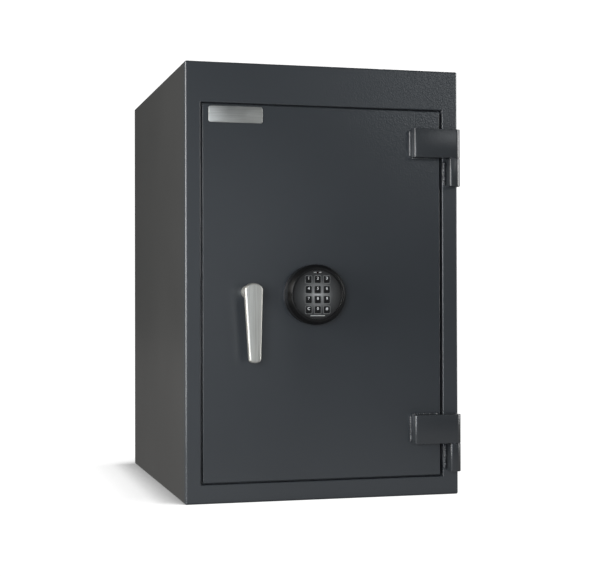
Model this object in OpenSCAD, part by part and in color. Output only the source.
// Free-standing burglary safe: plate steel cabinet, flush plate door on external hinges,
// three-bolt boltwork driven by a lever handle, and an electronic lock with a round keypad.
// Frame: +Z up, the door faces -Y, the origin is the centre of the base on the floor.

/* [Cabinet] */
// Outside width of the cabinet
body_w = 498; // [490:1:520]
// Outside height of the cabinet
body_h = 762; // [762:1:800]
// Outside depth of the cabinet, without the handle and keypad
body_d = 613; // [560:1:660]
// Thickness of the top, bottom, side and back plates
plate_t = 6.35; // [5:0.05:7]
// Radius of the outer edges
edge_r = 3; // [3:0.5:6]
// Radius of the four anchor holes in the floor
anchor_r = 7; // [5:0.5:9]
// Distance between the anchor holes across the cabinet
anchor_dx = 340; // [200:10:380]
// Distance between the anchor holes from front to back
anchor_dy = 400; // [200:10:440]

/* [Door opening] */
// Width of the frame on the lock side
stile_lock = 27; // [25:0.5:28]
// Width of the frame on the hinge side
stile_hinge = 29; // [29:0.5:31]
// Height of the frame above the door
rail_top = 70.5; // [60:0.5:80]
// Height of the frame below the door
rail_bottom = 33; // [30:0.5:34]
// Thickness of the front frame
frame_t = 13.5; // [13.2:0.1:14]
// Thickness of the door plate
door_t = 12.7; // [12:0.1:12.9]
// Gap between door and frame at the lock side, top and bottom
door_gap = 3.5; // [3:0.1:4]
// Gap between door and frame at the hinge side
hinge_gap = 5.5; // [4.5:0.1:5.5]

/* [Hinges] */
// How far the hinges stand out from the front
hinge_t = 22; // [21:0.5:23]
// Height of a door leaf
leaf_h = 51; // [45:1:55]
// Height of a frame knuckle
knuckle_h = 50; // [44:1:50]
// Distance from the hinge pin to the free end of a leaf
leaf_reach = 78; // [60:1:90]
// Height of the underside of the lower door leaf above the floor
hinge_low_z = 94; // [94:1:100]
// Height of the underside of the upper door leaf above the floor
hinge_high_z = 604.5; // [560:0.5:610]
// Radius of a hinge pin
pin_r = 6; // [5:0.5:7]

/* [Handle] */
// Distance of the handle's spindle from the middle of the cabinet
handle_x = -139.5; // [-141:0.5:-138]
// Height of the handle's spindle
handle_z = 364; // [362:0.5:366]
// How far the front of the lever stands out from the door
handle_out = 50; // [47:1:60]
// Thickness of the lever
lever_t = 12; // [9:0.5:14]
// Width of the lever at the spindle
lever_w_top = 31; // [28:0.5:34]
// Width of the lever at its tip
lever_w_tip = 20; // [16:0.5:24]
// Length of the lever below the spindle
lever_drop = 121; // [100:1:125]

/* [Keypad] */
// Position of the keypad across the door
keypad_x = -23; // [-24:0.5:-21.5]
// Height of the keypad's centre
keypad_z = 359.5; // [359:0.5:360]
// Outer radius of the keypad housing
keypad_r = 52.5; // [52.5:0.5:56]
// How far the keypad stands out from the door
keypad_out = 37; // [36:0.5:40]
// Width of a key
key_w = 10.6; // [9:0.1:11.2]
// Height of a key
key_h = 11.6; // [10:0.1:12.4]
// Distance between the key columns
key_dx = 16.3; // [15.5:0.1:16.8]
// Distance between the key rows
key_dz = 17.5; // [16.5:0.1:17.8]

/* [Boltwork] */
// Radius of a locking bolt
bolt_r = 12.7; // [10:0.1:12.7]
// Travel of the locking bolts
bolt_throw = 25; // [22:0.5:25]
// Distance between neighbouring locking bolts
bolt_dz = 190; // [170:5:200]
// Turn of the handle that throws the bolts, in degrees
handle_turn = 60; // [54:1:60]
// Thickness of the hardened plate behind the lock
hard_t = 6.35; // [5:0.05:6.35]

/* [Hidden] */
$fn = 48;

// Opening and door edges
open_x0 = -body_w / 2 + stile_lock;
open_x1 = body_w / 2 - stile_hinge;
open_z0 = rail_bottom;
open_z1 = body_h - rail_top;
door_x0 = open_x0 + door_gap;
door_x1 = open_x1 - hinge_gap;
door_z0 = open_z0 + door_gap;
door_z1 = open_z1 - door_gap;
jamb_r = 2;
door_edge_r = 0.6;
inside_x = body_w / 2 - plate_t;

// Back plate, set in from the rear edge of the shell
back_inset = 3;

// Hinges: the barrel's right side is flush with the cabinet's side
barrel_r = (hinge_t - 1) / 2;
pin_x = body_w / 2 - barrel_r - 0.5;
pin_y = -hinge_t + barrel_r;
washer_t = 1;
pin_up = 38;
pin_down = 36;
knuckle_x0 = pin_x - 11;
leaf_x0 = pin_x - leaf_reach;
leaf_edge_r = 2;

// Shelf, its depth measured back from the front plane
shelf_z = 392;
shelf_y0 = 90;
shelf_y1 = body_d - 28;
shelf_t = 2;
shelf_lip = 22;

// Door stop strips behind the frame
stop_t = 6;
stop_lap = 8;
stop_lug = 10;

// Boltwork depths, measured back from the front of the door
bolt_y = 34;
bolt_tip = door_x0 + 10.5;
flange_x0 = door_x0 + 52.5;
flange_t = 6;
web_y = 50;
web_t = 5;
web_x1 = flange_x0 + 74;
web_z0 = keypad_z - 249;
web_z1 = keypad_z + 255;
guide_x0 = door_x0 + 18.5;
guide_t = 6;
bolt_z = [for (k = [-1, 0, 1]) keypad_z + 2.5 + k * bolt_dz];
cam_y = 36;
cam_t = 8;
crank_r = bolt_throw / 2 / sin(handle_turn / 2);
cam_pin_r = 5;
crank_x = handle_x + crank_r * sin(handle_turn / 2);
crank_z = handle_z - crank_r * cos(handle_turn / 2);
spindle_r = 6.35;
post_x = handle_x + 9.5;
post_z = [keypad_z - 137, keypad_z + 140];

// Lock case
lock_x0 = handle_x + 67.5;
lock_w = 86;
lock_z0 = keypad_z - 31.5;
lock_h = 62;
lock_y0 = door_t + hard_t;
lock_depth = 29;
lock_wall = 4;
swing_x = lock_x0 + 6;
swing_z = keypad_z + 12;
swing_len = 28;
swing_r = 5;
swing_y0 = 28;
swing_t = 12;
heel_reach = 9;
heel_r = 4;
screw_lug = 7;
screw_spots = [[lock_x0 + lock_w - screw_lug, lock_z0 + screw_lug],
    [lock_x0 + lock_w - screw_lug, lock_z0 + lock_h - screw_lug],
    [lock_x0 + 24, lock_z0 + screw_lug]];

// Solenoid plunger: it snaps over the heel once the swing bolt is out
plunger_r = 2.5;
plunger_z = swing_z + heel_r + 0.3 + plunger_r;
plunger_x0 = swing_x + heel_reach + heel_r + 0.6;
solenoid_x0 = lock_x0 + 28.5;
solenoid_x1 = solenoid_x0 + 38;
solenoid_y = 36;

// Emergency relocking pin, upright, and the hook on the carriage that it catches
relock_x = -82;
relock_y = 50;
relock_r = 4;
relock_z0 = keypad_z - 140;
relock_span = 30;
ear_t = 3;
relock_tip = relock_z0 + relock_span + 2 * ear_t;
hook_z = relock_tip + 2;
hook_x1 = relock_x + 20;
collar_z = relock_z0 + 16.5;

// Keypad depths, measured out from the door
base_r = keypad_r - 0.5;
neck_r = keypad_r - 5;
groove = 2.5;
cap_from = 11;
cap_taper_from = 27;
rim_r = keypad_r - 5.1;
face_r = rim_r - 4.4;
face_out = keypad_out - 3.5;
face_t = 2;
key_out = face_out + 1.3;
board_out = 24.6;
lamp_z = keypad_z + 38;
lamp_r = 1.5;
keypad_screw_x = [keypad_x - 36, keypad_x + 36];

// Centres of the keys, row by row from the top left
key_spots = [for (row = [0:3], column = [0:2])
    [keypad_x + (column - 1) * key_dx, keypad_z + (1.5 - row) * key_dz]];

// Colours
charcoal = [0.24, 0.25, 0.27];
zinc = [0.72, 0.72, 0.70];
dark_steel = [0.35, 0.35, 0.36];
black = [0.06, 0.06, 0.065];

// Moves children so that y = 0 is the plane of the front
module from_front() {
    translate([0, -body_d / 2, 0]) children();
}

// Cylinder along +Y from y0 to y1
module rod_y(x, z, y0, y1, r) {
    translate([x, y0, z]) rotate([-90, 0, 0]) cylinder(r = r, h = y1 - y0);
}

// Cylinder along +X from x0 to x1
module rod_x(x0, x1, y, z, r) {
    translate([x0, y, z]) rotate([0, 90, 0]) cylinder(r = r, h = x1 - x0);
}

// Box between two corners
module box(low, high) {
    translate(low) cube(high - low);
}

// Flat shape drawn in x and z, given thickness from y0 to y1
module plate_xz(y0, y1) {
    translate([0, y1, 0]) rotate([90, 0, 0]) linear_extrude(height = y1 - y0) children();
}

// Rectangle with round corners
module round_rect(x0, z0, x1, z1, r) {
    union() {
        translate([x0 + r, z0]) square([x1 - x0 - 2 * r, z1 - z0]);
        translate([x0, z0 + r]) square([x1 - x0, z1 - z0 - 2 * r]);
        for (x = [x0 + r, x1 - r], z = [z0 + r, z1 - r]) translate([x, z]) circle(r = r);
    }
}

// Slot with round ends, long in x or z
module slot_2d(x, z, r, dx = 0, dz = 0) {
    union() {
        translate([x - dx / 2, z - dz / 2]) circle(r = r);
        translate([x + dx / 2, z + dz / 2]) circle(r = r);
        translate([x - (dx > 0 ? dx / 2 : r), z - (dz > 0 ? dz / 2 : r)])
            square([dx > 0 ? dx : 2 * r, dz > 0 ? dz : 2 * r]);
    }
}

// Slab from y = 0 to y = t whose front edges and corners are all rounded
module front_rounded_slab(x0, z0, x1, z1, t, r) {
    union() {
        plate_xz(r, t) round_rect(x0, z0, x1, z1, r);
        box([x0 + r, 0, z0 + r], [x1 - r, r, z1 - r]);
        for (z = [z0 + r, z1 - r]) rod_x(x0 + r, x1 - r, r, z, r);
        for (x = [x0 + r, x1 - r]) translate([x, r, z0 + r]) cylinder(r = r, h = z1 - z0 - 2 * r);
        for (x = [x0 + r, x1 - r], z = [z0 + r, z1 - r]) translate([x, r, z]) sphere(r = r);
    }
}

// ---- Cabinet ----

module body_shell() {
    color(charcoal) from_front() difference() {
        plate_xz(frame_t, body_d)
            difference() {
                round_rect(-body_w / 2, 0, body_w / 2, body_h, edge_r);
                translate([-inside_x, plate_t]) square([2 * inside_x, body_h - 2 * plate_t]);
            }
        for (x = [-1, 1], y = [-1, 1])
            translate([x * anchor_dx / 2, body_d / 2 + y * anchor_dy / 2, -1])
                cylinder(r = anchor_r, h = plate_t + 2);
    }
}

module back_plate() {
    color(charcoal) from_front()
        box([-inside_x, body_d - back_inset - plate_t, plate_t],
            [inside_x, body_d - back_inset, body_h - plate_t]);
}

// Upright bar of the front frame, its inner front edge rounded
module frame_bar(width, length) {
    linear_extrude(height = length) union() {
        translate([0, jamb_r]) square([width, frame_t - jamb_r]);
        square([width - jamb_r, frame_t]);
        translate([width - jamb_r, jamb_r]) circle(r = jamb_r);
    }
}

// The same bar turned to lie along +X, its outer edge on the floor
module frame_rail(width) {
    mirror([1, 0, -1]) frame_bar(width, body_w);
}

module front_frame() {
    half = body_w / 2;
    color(charcoal) from_front() intersection() {
        front_rounded_slab(-half, 0, half, body_h, frame_t, edge_r);
        union() {
            translate([-half, 0, 0]) frame_bar(stile_lock, body_h);
            translate([half, 0, 0]) mirror([1, 0, 0]) frame_bar(stile_hinge, body_h);
            translate([-half, 0, 0]) frame_rail(rail_bottom);
            translate([-half, 0, body_h]) mirror([0, 0, 1]) frame_rail(rail_top);
        }
    }
}

module door_stop() {
    back = frame_t + stop_t;
    inner_x = open_x0 + stop_lap;
    color(charcoal) from_front() {
        box([open_x0 - stop_lug, frame_t, open_z0 - stop_lug],
            [inner_x, back, open_z1 + stop_lug]);
        box([inner_x, frame_t, open_z0 - stop_lug], [open_x1, back, open_z0 + stop_lap]);
        box([inner_x, frame_t, open_z1 - stop_lap], [open_x1, back, open_z1 + stop_lug]);
    }
}

// Knuckle welded to the frame; its pin stands up out of it
module frame_knuckle(z1) {
    z0 = z1 - knuckle_h;
    color(charcoal) from_front() difference() {
        translate([0, 0, z0]) linear_extrude(height = knuckle_h) union() {
            translate([pin_x, pin_y]) circle(r = barrel_r);
            translate([knuckle_x0, -hinge_t + leaf_edge_r])
                square([pin_x - knuckle_x0, hinge_t - leaf_edge_r]);
            translate([knuckle_x0 + leaf_edge_r, -hinge_t])
                square([pin_x - knuckle_x0 - leaf_edge_r, leaf_edge_r]);
            translate([knuckle_x0 + leaf_edge_r, -hinge_t + leaf_edge_r]) circle(r = leaf_edge_r);
            translate([knuckle_x0, pin_y]) square([pin_x + barrel_r - knuckle_x0, -pin_y]);
        }
        translate([pin_x, pin_y, z1 - pin_down]) cylinder(r = pin_r + 0.02, h = pin_down + 1);
    }
}

module hinge_pin(z) {
    color(zinc) from_front() translate([pin_x, pin_y, z - pin_down]) {
        cylinder(r = pin_r, h = pin_down + pin_up - 1.5);
        translate([0, 0, pin_down + pin_up - 1.5]) cylinder(r1 = pin_r, r2 = pin_r - 1.5, h = 1.5);
    }
}

module hinge_washers() {
    color(zinc) from_front() for (z = [hinge_low_z, hinge_high_z])
        translate([pin_x, pin_y, z - washer_t]) difference() {
            cylinder(r = barrel_r - 0.8, h = washer_t);
            translate([0, 0, -1]) cylinder(r = pin_r + 0.3, h = washer_t + 2);
        }
}

module shelf() {
    x = inside_x - 2.5;
    color([0.45, 0.46, 0.48]) from_front() {
        box([-x, shelf_y0, shelf_z], [x, shelf_y1, shelf_z + shelf_t]);
        box([-x, shelf_y0, shelf_z - shelf_lip], [x, shelf_y0 + shelf_t, shelf_z]);
        box([-x, shelf_y1 - shelf_t, shelf_z - shelf_lip], [x, shelf_y1, shelf_z]);
    }
}

// Mirrors a right-hand piece to the left when side is -1
module on_side(side) {
    if (side > 0) children();
    else mirror([1, 0, 0]) children();
}

module shelf_brackets() {
    lug_w = 14;
    lug_t = 3;
    lug_l = 60;
    color(charcoal) from_front() for (side = [-1, 1], y = [shelf_y0 + 40, shelf_y1 - 100])
        on_side(side) union() {
            box([inside_x - lug_w, y, shelf_z - lug_t], [inside_x, y + lug_l, shelf_z]);
            box([inside_x - lug_t, y, shelf_z - 24], [inside_x, y + lug_l, shelf_z - lug_t]);
        }
}

// ---- Door ----

module door_plate() {
    color(charcoal) from_front() difference() {
        front_rounded_slab(door_x0, door_z0, door_x1, door_z1, door_t, door_edge_r);
        rod_y(handle_x, handle_z, -1, door_t + 1, 9.5);
        rod_y(keypad_x, keypad_z, -1, door_t + 1, 4);
    }
}

// Leaf welded to the door; its barrel turns on the pin from the knuckle below
module door_leaf(z) {
    clear = 1;
    color(charcoal) from_front() difference() {
        translate([0, 0, z]) linear_extrude(height = leaf_h) union() {
            translate([pin_x, pin_y]) circle(r = barrel_r);
            translate([leaf_x0, -hinge_t + leaf_edge_r])
                square([pin_x - leaf_x0, hinge_t - leaf_edge_r - clear]);
            translate([leaf_x0 + leaf_edge_r, -hinge_t])
                square([pin_x - leaf_x0 - leaf_edge_r, leaf_edge_r]);
            translate([leaf_x0 + leaf_edge_r, -hinge_t + leaf_edge_r]) circle(r = leaf_edge_r);
            translate([leaf_x0, -clear]) square([door_x1 - 3 - leaf_x0, clear]);
        }
        translate([pin_x, pin_y, z - 1]) cylinder(r = pin_r + 0.05, h = pin_up + 3);
    }
}

// Full-height bar on the hinge side; it hooks behind the frame when the door is shut
module dead_bar() {
    bar_x0 = open_x1 - 29;
    foot_x1 = door_x1 - 2.5;
    hook_y = frame_t + 6;
    color(dark_steel) from_front() translate([0, 0, door_z0 + 24])
        linear_extrude(height = door_z1 - door_z0 - 48) polygon([[bar_x0, door_t],
            [foot_x1, door_t], [foot_x1, hook_y], [open_x1 + 7, hook_y],
            [open_x1 + 7, hook_y + 12.7], [bar_x0, hook_y + 12.7]]);
}

// Angle whose upright leaf guides the locking bolts
module bolt_guide() {
    color(zinc) from_front() difference() {
        union() {
            box([guide_x0, door_t, web_z0], [guide_x0 + guide_t, 56, web_z1]);
            box([guide_x0 + guide_t, door_t, web_z0], [guide_x0 + 24, door_t + 5, web_z1]);
        }
        for (z = bolt_z) rod_x(guide_x0 - 1, guide_x0 + guide_t + 1, bolt_y, z, bolt_r + 0.4);
    }
}

// Posts with shoulders and heads that hold the carriage to the door
module guide_posts() {
    color(zinc) from_front() for (z = post_z) {
        rod_y(post_x, z, door_t, web_y - 0.5, 7);
        rod_y(post_x, z, web_y - 0.5, web_y + web_t + 0.5, 4);
        rod_y(post_x, z, web_y + web_t + 0.5, web_y + web_t + 4, 8);
    }
}

module hard_plate() {
    color(dark_steel) from_front() difference() {
        box([lock_x0 - 20, door_t, lock_z0 - 26], [lock_x0 + lock_w + 24, lock_y0, lock_z0 + lock_h + 28]);
        rod_y(keypad_x, keypad_z, door_t - 1, lock_y0 + 1, 4);
    }
}

module lock_case() {
    y1 = lock_y0 + lock_depth;
    x1 = lock_x0 + lock_w;
    z1 = lock_z0 + lock_h;
    color([0.62, 0.58, 0.48]) from_front() difference() {
        box([lock_x0, lock_y0, lock_z0], [x1, y1, z1]);
        difference() {
            box([lock_x0 + lock_wall, lock_y0 + lock_wall, lock_z0 + lock_wall],
                [x1 - lock_wall, y1 + 1, z1 - lock_wall]);
            for (s = screw_spots) box([s[0] - screw_lug, lock_y0, s[1] - screw_lug],
                [s[0] + screw_lug, y1 + 2, s[1] + screw_lug]);
        }
        box([lock_x0 - 1, swing_y0 - 1, swing_z - swing_len - swing_r - 1],
            [lock_x0 + lock_wall + 1, swing_y0 + swing_t + 1, swing_z + swing_r + 1]);
        for (s = screw_spots) rod_y(s[0], s[1], lock_y0 - 1, y1 + 1, 3.2);
        rod_y(keypad_x, keypad_z, lock_y0 - 1, lock_y0 + lock_wall + 1, 3.5);
        rod_y(swing_x, swing_z, lock_y0 + 1, y1 + 1, 3.02);
    }
}

module lock_cover() {
    y0 = lock_y0 + lock_depth;
    color(zinc) from_front() difference() {
        box([lock_x0, y0, lock_z0], [lock_x0 + lock_w, y0 + 2, lock_z0 + lock_h]);
        for (s = screw_spots) rod_y(s[0], s[1], y0 - 1, y0 + 3, 3.2);
    }
}

module lock_pivot() {
    color(zinc) from_front() rod_y(swing_x, swing_z, lock_y0 + 1, lock_y0 + lock_depth, 3);
}

module lock_solenoid() {
    color([0.75, 0.55, 0.3]) from_front() difference() {
        rod_x(solenoid_x0, solenoid_x1, solenoid_y, plunger_z, 7);
        rod_x(solenoid_x0 - 1, solenoid_x1 - 8, solenoid_y, plunger_z, plunger_r + 0.08);
    }
}

module lock_plunger() {
    color(zinc) from_front()
        rod_x(plunger_x0, solenoid_x1 - 12, solenoid_y, plunger_z, plunger_r);
}

module lock_board() {
    color([0.1, 0.35, 0.18]) from_front()
        box([lock_x0 + 19.5, 24.5, keypad_z - 14], [lock_x0 + 69.5, 26.1, keypad_z + 24]);
}

module lock_screws() {
    y1 = lock_y0 + lock_depth + 2;
    color(zinc) from_front() for (s = screw_spots) difference() {
        union() {
            rod_y(s[0], s[1], lock_y0, y1, 3);
            rod_y(s[0], s[1], y1, y1 + 3.5, 5);
        }
        translate([s[0], y1 + 1, s[1]]) rotate([-90, 0, 0]) cylinder(r = 2.6, h = 4, $fn = 6);
    }
}

module spindle_bush() {
    color([0.75, 0.62, 0.3]) from_front() difference() {
        union() {
            rod_y(handle_x, handle_z, 0, door_t, 9.45);
            rod_y(handle_x, handle_z, door_t, door_t + 2.5, 13);
        }
        rod_y(handle_x, handle_z, -1, door_t + 4, spindle_r + 0.08);
    }
}

// Turns a profile of radius and distance from the door about the keypad's axis
module keypad_turned() {
    translate([keypad_x, 0, keypad_z]) rotate([90, 0, 0]) rotate_extrude($fn = 96) children();
}

module keypad_base() {
    color(black) from_front() difference() {
        keypad_turned() polygon([[0, 0], [base_r, 0], [base_r, cap_from - groove],
            [neck_r, cap_from - groove], [neck_r, cap_from + 3], [neck_r - 3, cap_from + 3],
            [neck_r - 3, 3], [0, 3]]);
        rod_y(keypad_x, keypad_z, -4, 1, 4);
        for (x = keypad_screw_x) rod_y(x, keypad_z, -4, 1, 2.2);
    }
}

module keypad_screws() {
    color(zinc) from_front() for (x = keypad_screw_x) {
        rod_y(x, keypad_z, -3, 0, 2.1);
        rod_y(x, keypad_z, -5.5, -3, 4);
    }
}

// Nine-volt block battery below the cable hole
module battery() {
    color([0.5, 0.42, 0.2]) from_front()
        box([keypad_x - 24.2, -20.7, keypad_z - 37], [keypad_x + 24.2, -3.2, keypad_z - 10.5]);
}

module keypad_cable() {
    color(black) from_front() {
        rod_y(keypad_x, keypad_z, -12, lock_y0 + lock_wall + 1, 2.5);
        rod_y(keypad_x, keypad_z, -19, -12, 5);
    }
}

module relock_bracket() {
    color(zinc) from_front() difference() {
        union() {
            box([relock_x - 8, door_t, relock_z0 - 10],
                [relock_x + 8, door_t + ear_t, relock_z0 + relock_span + ear_t + 10]);
            for (z = [relock_z0, relock_z0 + relock_span])
                box([relock_x - 8, door_t + ear_t, z], [relock_x + 8, relock_y + 8, z + ear_t]);
        }
        translate([relock_x, relock_y, relock_z0 - 1])
            cylinder(r = relock_r + 0.08, h = relock_span + ear_t + 2);
    }
}

module relock_pin() {
    color(dark_steel) from_front() {
        translate([relock_x, relock_y, relock_z0 - 12])
            cylinder(r = relock_r, h = relock_tip - relock_z0 + 12);
        translate([relock_x, relock_y, collar_z]) cylinder(r = relock_r + 2.5, h = 2.5);
    }
}

// Coil along +Z: rings of points that follow a helix, joined by quads
module coil(length, coil_r, wire_r, turns, steps, sides) {
    n = turns * steps;
    ring = function(k) let (a = 360 * k / steps) [for (s = [0:sides - 1])
        let (b = 360 * s / sides, r = coil_r + wire_r * cos(b))
            [r * cos(a), r * sin(a), length * k / n + wire_r * sin(b)]];
    points = [for (k = [0:n]) each ring(k)];
    walls = [for (k = [0:n - 1], s = [0:sides - 1])
        let (t = (s + 1) % sides, i = k * sides, j = (k + 1) * sides) [j + s, j + t, i + t, i + s]];
    polyhedron(points, concat(walls, [[for (s = [0:sides - 1]) s]],
        [[for (s = [sides - 1:-1:0]) n * sides + s]]), convexity = 6);
}

module relock_spring() {
    wire_r = 0.7;
    z0 = relock_z0 + ear_t + wire_r;
    color([0.8, 0.8, 0.78]) from_front() translate([relock_x, relock_y, z0 + 0.1])
        coil(collar_z - z0 - wire_r - 0.2, relock_r + wire_r + 0.9, wire_r, 5, 14, 6);
}

module nameplate() {
    w = 95.5;
    h = 28.5;
    x0 = door_x0 + 10.5;
    z1 = door_z1 - 2.2;
    color([0.6, 0.6, 0.57]) from_front() plate_xz(-1, 0) round_rect(x0, z1 - h, x0 + w, z1, 3.5);
}

// ---- Handle ----

// Outline of the lever: a tapered bar between two round ends, in x and z about the spindle
module lever_outline() {
    top_r = 17.7;
    tip_r = 17;
    top = 15.5;
    tip = -lever_drop;
    slope = (lever_w_top - lever_w_tip) / 2 / lever_drop;
    half = function(z) lever_w_top / 2 + slope * z;
    intersection() {
        polygon([[-half(tip), tip], [half(tip), tip], [half(top), top], [-half(top), top]]);
        union() {
            translate([0, top - top_r]) circle(r = top_r);
            translate([-20, tip + tip_r]) square([40, top - top_r - tip - tip_r]);
            translate([0, tip + tip_r]) circle(r = tip_r);
        }
    }
}

module handle_lever() {
    back = handle_out - lever_t;
    color([0.68, 0.68, 0.65]) from_front() difference() {
        union() {
            translate([handle_x, 0, handle_z]) plate_xz(-handle_out, -back) lever_outline();
            rod_y(handle_x, handle_z, -back, -0.6, 12);
        }
        rod_y(handle_x, handle_z, -back + 2, 1, spindle_r + 0.02);
        translate([handle_x, -18, handle_z - 16]) cylinder(r = 2.5, h = 14);
    }
}

module handle_spindle() {
    back = handle_out - lever_t;
    color(zinc) from_front() rod_y(handle_x, handle_z, -back + 2.5, web_y - 1.5, spindle_r);
}

module handle_set_screw() {
    color(dark_steel) from_front() translate([handle_x, -18, handle_z - 12]) difference() {
        cylinder(r = 2.45, h = 12 - spindle_r - 0.02);
        translate([0, 0, -1]) cylinder(r = 1.4, h = 3, $fn = 6);
    }
}

// Crank on the spindle; at rest it points down and away from the bolts by half the turn
module cam_arm() {
    color(dark_steel) from_front() difference() {
        translate([handle_x, 0, handle_z]) rotate([0, -handle_turn / 2, 0])
            plate_xz(cam_y, cam_y + cam_t) union() {
                circle(r = 13);
                translate([-8, -crank_r]) square([16, crank_r]);
                translate([0, -crank_r]) circle(r = 9);
            }
        rod_y(handle_x, handle_z, cam_y - 1, cam_y + cam_t + 1, spindle_r + 0.02);
        rod_y(crank_x, crank_z, cam_y - 1, cam_y + cam_t + 1, cam_pin_r - 0.48);
    }
}

module cam_pin() {
    color(zinc) from_front() {
        rod_y(crank_x, crank_z, cam_y, cam_y + cam_t, cam_pin_r - 0.5);
        rod_y(crank_x, crank_z, cam_y + cam_t, web_y + web_t + 2, cam_pin_r);
    }
}

module spindle_nut() {
    color(zinc) from_front() difference() {
        translate([handle_x, cam_y + cam_t, handle_z]) rotate([-90, 0, 0])
            cylinder(r = 10.4, h = 5, $fn = 6);
        rod_y(handle_x, handle_z, cam_y, web_y + 1, spindle_r + 0.02);
    }
}

// ---- Boltwork ----

// Folded plate: the flange carries the bolts, the web holds the crank slot and the guide slots
module bolt_carriage() {
    arm_x1 = lock_x0 - 2;
    arm_z0 = keypad_z - 22;
    arm_z1 = keypad_z + 6;
    slot_z = handle_z - crank_r * (1 + cos(handle_turn / 2)) / 2;
    slot_dz = crank_r * (1 - cos(handle_turn / 2)) + 1.6;
    color(zinc) from_front() difference() {
        union() {
            box([flange_x0, 20, web_z0], [flange_x0 + flange_t, web_y + web_t, web_z1]);
            box([flange_x0 + flange_t, web_y, web_z0], [web_x1, web_y + web_t, web_z1]);
            box([web_x1, web_y, arm_z0], [arm_x1, web_y + web_t, arm_z1]);
            box([arm_x1 - 10, swing_y0 - 2, arm_z0], [arm_x1, web_y, arm_z1]);
            box([web_x1, web_y, hook_z + 10], [hook_x1, web_y + web_t, hook_z + 20]);
            box([hook_x1 - 8, web_y, hook_z], [hook_x1, web_y + web_t, hook_z + 10]);
        }
        plate_xz(web_y - 1, web_y + web_t + 1) {
            slot_2d(handle_x + bolt_throw / 2, handle_z + 1, 11, dx = bolt_throw);
            slot_2d(crank_x, slot_z, cam_pin_r + 0.6, dz = slot_dz);
            for (z = post_z) slot_2d(post_x + bolt_throw / 2, z, 4.4, dx = bolt_throw);
        }
        for (z = bolt_z) rod_x(flange_x0 - 1, flange_x0 + flange_t + 1, bolt_y, z, 4.2);
    }
}

module locking_bolts() {
    chamfer = 2;
    color([0.85, 0.85, 0.86]) from_front() for (z = bolt_z) difference() {
        union() {
            rod_x(bolt_tip + chamfer, flange_x0, bolt_y, z, bolt_r);
            translate([bolt_tip, bolt_y, z]) rotate([0, 90, 0])
                cylinder(r1 = bolt_r - chamfer, r2 = bolt_r, h = chamfer);
        }
        rod_x(flange_x0 - 20, flange_x0 + 1, bolt_y, z, 4.02);
    }
}

module bolt_screws() {
    head_x = flange_x0 + flange_t;
    color(dark_steel) from_front() for (z = bolt_z) difference() {
        union() {
            rod_x(flange_x0 - 18, head_x, bolt_y, z, 4);
            rod_x(head_x, head_x + 4, bolt_y, z, 7);
        }
        translate([head_x + 1.5, bolt_y, z]) rotate([0, 90, 0]) cylinder(r = 2.9, h = 4, $fn = 6);
    }
}

// Bolt that swings out of the lock case, with a heel for the plunger to block
module lock_swing_bolt() {
    color(zinc) from_front() difference() {
        translate([swing_x, 0, swing_z]) union() {
            plate_xz(swing_y0, swing_y0 + swing_t)
                slot_2d(0, -swing_len / 2, swing_r, dz = swing_len);
            rotate([0, -handle_turn, 0]) plate_xz(swing_y0, swing_y0 + swing_t)
                slot_2d(heel_reach / 2, 0, heel_r, dx = heel_reach);
        }
        rod_y(swing_x, swing_z, swing_y0 - 1, swing_y0 + swing_t + 1, 3.06);
    }
}

// ---- Keypad ----

// Points on a quarter of a circle about (r, out), from one angle to the other
function arc(r, out, radius, from, to, steps) =
    [for (k = [0:steps]) let (a = from + (to - from) * k / steps) [r + radius * cos(a), out + radius * sin(a)]];

module keypad_housing() {
    round = 2.2;
    color(black) from_front() keypad_turned() polygon(concat(
        [[neck_r + 0.6, cap_from], [keypad_r - 1, cap_from]],
        arc(keypad_r - 1, cap_from + 1, 1, -90, 0, 4),
        [[keypad_r, cap_taper_from]],
        arc(rim_r - round, keypad_out - round, round, 24, 90, 6),
        [[face_r + 0.2, keypad_out], [face_r + 0.2, face_out - face_t],
         [face_r - 3, face_out - face_t], [face_r - 3, face_out - face_t - 2],
         [face_r - 0.5, face_out - face_t - 2], [neck_r + 0.6, cap_taper_from - 1]]));
}

module keypad_face() {
    color([0.28, 0.28, 0.29]) from_front() difference() {
        rod_y(keypad_x, keypad_z, -face_out, -face_out + face_t, face_r);
        for (spot = key_spots) box([spot[0] - key_w / 2 - 0.3, -face_out - 1, spot[1] - key_h / 2 - 0.3],
            [spot[0] + key_w / 2 + 0.3, -face_out + face_t + 1, spot[1] + key_h / 2 + 0.3]);
        rod_y(keypad_x, lamp_z, -face_out - 1, -face_out + face_t + 1, lamp_r + 0.1);
    }
}

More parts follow.
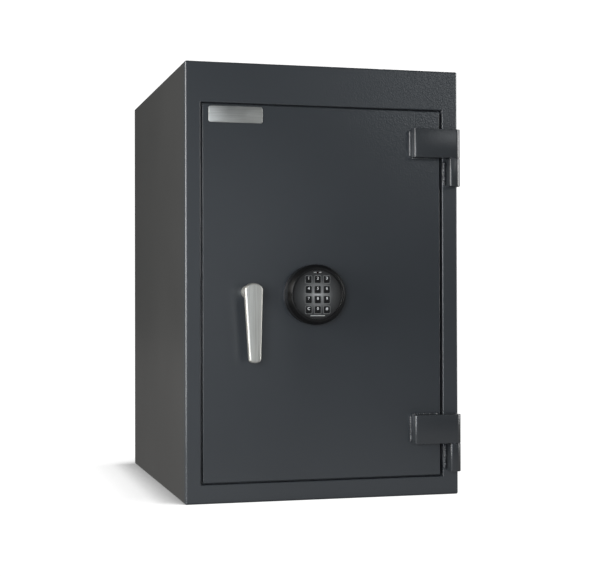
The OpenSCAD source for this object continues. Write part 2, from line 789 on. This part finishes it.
module keypad_board() {
    color([0.1, 0.35, 0.18]) from_front() rod_y(keypad_x, keypad_z, -board_out, -board_out + 1.6, 40);
}

module keypad_light() {
    color([0.7, 0.1, 0.1]) from_front() rod_y(keypad_x, lamp_z, -face_out - 0.3, -board_out, lamp_r);
}

// Key with a hidden flange that keeps it behind the face
module key(spot) {
    flange_from = board_out + 1.9;
    flange_to = face_out - face_t - 1;
    color(black) from_front() translate([spot[0], 0, spot[1]]) {
        plate_xz(-key_out, -flange_to) round_rect(-key_w / 2, -key_h / 2, key_w / 2, key_h / 2, 1.2);
        box([-key_w / 2 - 0.8, -flange_to, -key_h / 2 - 0.8],
            [key_w / 2 + 0.8, -flange_from, key_h / 2 + 0.8]);
    }
}

body_shell();
back_plate();
front_frame();
door_stop();
frame_knuckle(hinge_high_z - washer_t);  // frame_knuckle_top
frame_knuckle(hinge_low_z - washer_t);  // frame_knuckle_bottom
hinge_pin(hinge_high_z - washer_t);  // hinge_pin_top
hinge_pin(hinge_low_z - washer_t);  // hinge_pin_bottom
hinge_washers();
shelf();
shelf_brackets();
door_plate();
door_leaf(hinge_high_z);  // door_leaf_top
door_leaf(hinge_low_z);  // door_leaf_bottom
dead_bar();
bolt_guide();
guide_posts();
hard_plate();
lock_case();
lock_cover();
lock_pivot();
lock_solenoid();
lock_plunger();
lock_board();
lock_screws();
spindle_bush();
keypad_base();
keypad_screws();
battery();
keypad_cable();
relock_bracket();
relock_pin();
relock_spring();
nameplate();
handle_lever();
handle_spindle();
handle_set_screw();
cam_arm();
cam_pin();
spindle_nut();
bolt_carriage();
locking_bolts();
bolt_screws();
lock_swing_bolt();
keypad_housing();
keypad_face();
keypad_board();
keypad_light();
key(key_spots[0]);  // key_1
key(key_spots[1]);  // key_2
key(key_spots[2]);  // key_3
key(key_spots[3]);  // key_4
key(key_spots[4]);  // key_5
key(key_spots[5]);  // key_6
key(key_spots[6]);  // key_7
key(key_spots[7]);  // key_8
key(key_spots[8]);  // key_9
key(key_spots[9]);  // key_clear
key(key_spots[10]);  // key_0
key(key_spots[11]);  // key_enter
